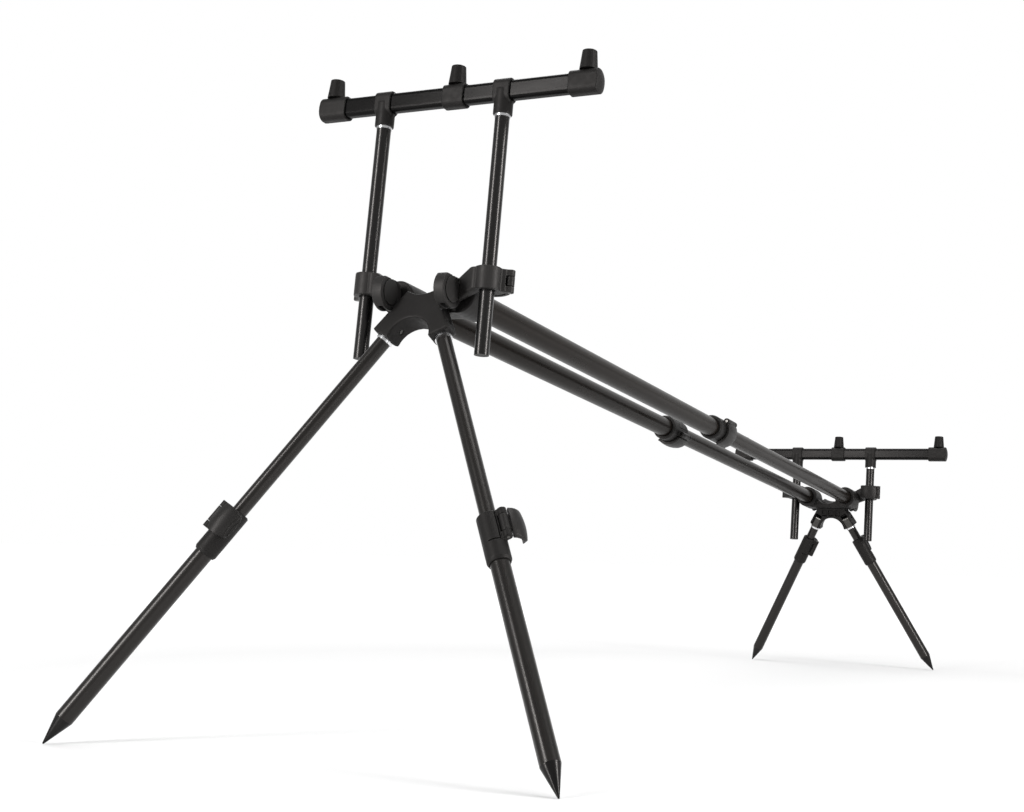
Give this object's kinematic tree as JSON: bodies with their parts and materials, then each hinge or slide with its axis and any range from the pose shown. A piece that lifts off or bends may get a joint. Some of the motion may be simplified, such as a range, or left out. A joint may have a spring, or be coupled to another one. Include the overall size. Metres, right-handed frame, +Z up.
{
  "type": "fishing rod pod",
  "caption": "Free-standing fishing rod pod: telescopic twin bars between two A-frames with folding spiked legs, and a height-adjustable buzz bar with threaded alarm sockets over each end.",
  "frame": {"origin": "on the ground, in the middle of the box round the standing pod", "axes": "+Z up, +Y from the tall front end to the low rear end, +X to the right seen from the front"},
  "size_m": [0.5722, 1.8556, 0.7329],
  "materials": {
    "moulded": "matte moulded",
    "lever": "satin moulded",
    "insert": "satin moulded",
    "gloss_tube": "gloss black",
    "satin_tube": "satin black",
    "bar_tube": "satin gunmetal",
    "bright_metal": "bright turned",
    "spike": "gloss black"
  },
  "bodies": {
    "front_frame": {"front_hub": "moulded", "front_leg_pins": "bright_metal", "outer_bars": "bar_tube", "bar_collars": "moulded", "bar_lever_pins": "bright_metal"},
    "rear_frame": {"rear_hub": "moulded", "rear_leg_pins": "bright_metal", "inner_bars": "bar_tube"},
    "front_rest": {"front_left_arm": "moulded", "front_right_arm": "moulded", "front_arm_pivots": "moulded", "front_arm_lever_pins": "bright_metal"},
    "front_buzz": {"front_uprights": "gloss_tube", "front_upright_rings": "bright_metal", "front_buzz_bar": "satin_tube", "front_buzz_collars": "moulded", "front_alarm_inserts": "insert"},
    "front_left_leg": {"front_left_leg_top": "bright_metal", "front_left_upper_leg": "gloss_tube"},
    "front_left_foot": {"front_left_lower_leg": "gloss_tube", "front_left_leg_collar": "moulded", "front_left_lever_pin": "bright_metal", "front_left_spike": "spike"},
    "front_left_leg_cam": {"front_left_leg_lever": "lever"},
    "front_left_arm_cam": {"front_left_arm_lever": "lever"},
    "front_right_leg": {"front_right_leg_top": "bright_metal", "front_right_upper_leg": "gloss_tube"},
    "front_right_foot": {"front_right_lower_leg": "gloss_tube", "front_right_leg_collar": "moulded", "front_right_lever_pin": "bright_metal", "front_right_spike": "spike"},
    "front_right_leg_cam": {"front_right_leg_lever": "lever"},
    "front_right_arm_cam": {"front_right_arm_lever": "lever"},
    "rear_rest": {"rear_left_arm": "moulded", "rear_right_arm": "moulded", "rear_arm_pivots": "moulded", "rear_arm_lever_pins": "bright_metal"},
    "rear_buzz": {"rear_uprights": "gloss_tube", "rear_upright_rings": "bright_metal", "rear_buzz_bar": "satin_tube", "rear_buzz_collars": "moulded", "rear_alarm_inserts": "insert"},
    "rear_left_leg": {"rear_left_leg_top": "bright_metal", "rear_left_upper_leg": "gloss_tube"},
    "rear_left_foot": {"rear_left_lower_leg": "gloss_tube", "rear_left_leg_collar": "moulded", "rear_left_lever_pin": "bright_metal", "rear_left_spike": "spike"},
    "rear_left_leg_cam": {"rear_left_leg_lever": "lever"},
    "rear_left_arm_cam": {"rear_left_arm_lever": "lever"},
    "rear_right_leg": {"rear_right_leg_top": "bright_metal", "rear_right_upper_leg": "gloss_tube"},
    "rear_right_foot": {"rear_right_lower_leg": "gloss_tube", "rear_right_leg_collar": "moulded", "rear_right_lever_pin": "bright_metal", "rear_right_spike": "spike"},
    "rear_right_leg_cam": {"rear_right_leg_lever": "lever"},
    "rear_right_arm_cam": {"rear_right_arm_lever": "lever"},
    "left_bar_cam": {"left_bar_lever": "lever"},
    "right_bar_cam": {"right_bar_lever": "lever"}
  },
  "joints": [
    {"name": "bar_slide", "type": "slide", "parent": "front_frame", "child": "rear_frame", "axis": [0, 0.9956, -0.0938], "range_m": [-0.62, 0.06]},
    {"name": "front_rest_tilt", "type": "hinge", "parent": "front_frame", "child": "front_rest", "pos_m": [0, -0.72819, 0.47634], "axis": [1, 0, 0], "range_deg": [0, 90]},
    {"name": "front_buzz_height", "type": "slide", "parent": "front_rest", "child": "front_buzz", "axis": [0, 0.0938, 0.9956], "range_m": [-0.166, 0.06]},
    {"name": "front_left_leg_fold", "type": "hinge", "parent": "front_frame", "child": "front_left_leg", "pos_m": [-0.028, -0.72324, 0.43821], "axis": [0.8704, -0.0462, -0.4902], "range_deg": [0, 100]},
    {"name": "front_left_leg_slide", "type": "slide", "parent": "front_left_leg", "child": "front_left_foot", "axis": [-0.4704, -0.3724, -0.8], "range_m": [-0.185, 0.008]},
    {"name": "front_left_leg_lever_swing", "type": "hinge", "parent": "front_left_foot", "child": "front_left_leg_cam", "pos_m": [-0.16429, -0.83108, 0.2323], "axis": [-0.4704, -0.3724, -0.8], "range_deg": [0, 110]},
    {"name": "front_left_arm_lever_swing", "type": "hinge", "parent": "front_rest", "child": "front_left_arm_cam", "pos_m": [-0.09501, -0.6965, 0.48741], "axis": [0, 0.0938, 0.9956], "range_deg": [0, 100]},
    {"name": "front_right_leg_fold", "type": "hinge", "parent": "front_frame", "child": "front_right_leg", "pos_m": [0.028, -0.72324, 0.43821], "axis": [0.8704, 0.0462, 0.4902], "range_deg": [0, 100]},
    {"name": "front_right_leg_slide", "type": "slide", "parent": "front_right_leg", "child": "front_right_foot", "axis": [0.4704, -0.3724, -0.8], "range_m": [-0.185, 0.008]},
    {"name": "front_right_leg_lever_swing", "type": "hinge", "parent": "front_right_foot", "child": "front_right_leg_cam", "pos_m": [0.16794, -0.82321, 0.23078], "axis": [0.4704, -0.3724, -0.8], "range_deg": [-62, 48]},
    {"name": "front_right_arm_lever_swing", "type": "hinge", "parent": "front_rest", "child": "front_right_arm_cam", "pos_m": [0.09501, -0.6965, 0.48741], "axis": [0, -0.0938, -0.9956], "range_deg": [0, 100]},
    {"name": "rear_rest_tilt", "type": "hinge", "parent": "rear_frame", "child": "rear_rest", "pos_m": [0, 0.86376, 0.32627], "axis": [-1, 0, 0], "range_deg": [0, 90]},
    {"name": "rear_buzz_height", "type": "slide", "parent": "rear_rest", "child": "rear_buzz", "axis": [0, 0.0938, 0.9956], "range_m": [-0.034, 0.08]},
    {"name": "rear_left_leg_fold", "type": "hinge", "parent": "rear_frame", "child": "rear_left_leg", "pos_m": [-0.028, 0.85177, 0.28974], "axis": [-0.8704, 0.0462, 0.4902], "range_deg": [0, 100]},
    {"name": "rear_left_leg_slide", "type": "slide", "parent": "rear_left_leg", "child": "rear_left_foot", "axis": [-0.4704, 0.2164, -0.8555], "range_m": [-0.002, 0.217]},
    {"name": "rear_left_leg_lever_swing", "type": "hinge", "parent": "rear_left_foot", "child": "rear_left_leg_cam", "pos_m": [-0.04255, 0.86667, 0.23137], "axis": [-0.4704, 0.2164, -0.8555], "range_deg": [0, 110]},
    {"name": "rear_left_arm_lever_swing", "type": "hinge", "parent": "rear_rest", "child": "rear_left_arm_cam", "pos_m": [-0.09501, 0.8347, 0.34307], "axis": [0, -0.0938, -0.9956], "range_deg": [0, 100]},
    {"name": "rear_right_leg_fold", "type": "hinge", "parent": "rear_frame", "child": "rear_right_leg", "pos_m": [0.028, 0.85177, 0.28974], "axis": [-0.8704, -0.0462, -0.4902], "range_deg": [0, 100]},
    {"name": "rear_right_leg_slide", "type": "slide", "parent": "rear_right_leg", "child": "rear_right_foot", "axis": [0.4704, 0.2164, -0.8555], "range_m": [-0.002, 0.217]},
    {"name": "rear_right_leg_lever_swing", "type": "hinge", "parent": "rear_right_foot", "child": "rear_right_leg_cam", "pos_m": [0.05965, 0.87886, 0.24385], "axis": [0.4704, 0.2164, -0.8555], "range_deg": [-100, 10]},
    {"name": "rear_right_arm_lever_swing", "type": "hinge", "parent": "rear_rest", "child": "rear_right_arm_cam", "pos_m": [0.09501, 0.8347, 0.34307], "axis": [0, 0.0938, 0.9956], "range_deg": [0, 100]},
    {"name": "left_bar_lever_swing", "type": "hinge", "parent": "front_frame", "child": "left_bar_cam", "pos_m": [-0.01761, 0.09347, 0.39143], "axis": [0, -0.9956, 0.0938], "range_deg": [0, 100]},
    {"name": "right_bar_lever_swing", "type": "hinge", "parent": "front_frame", "child": "right_bar_cam", "pos_m": [0.05578, 0.09534, 0.41121], "axis": [0, -0.9956, 0.0938], "range_deg": [0, 100]}
  ]
}
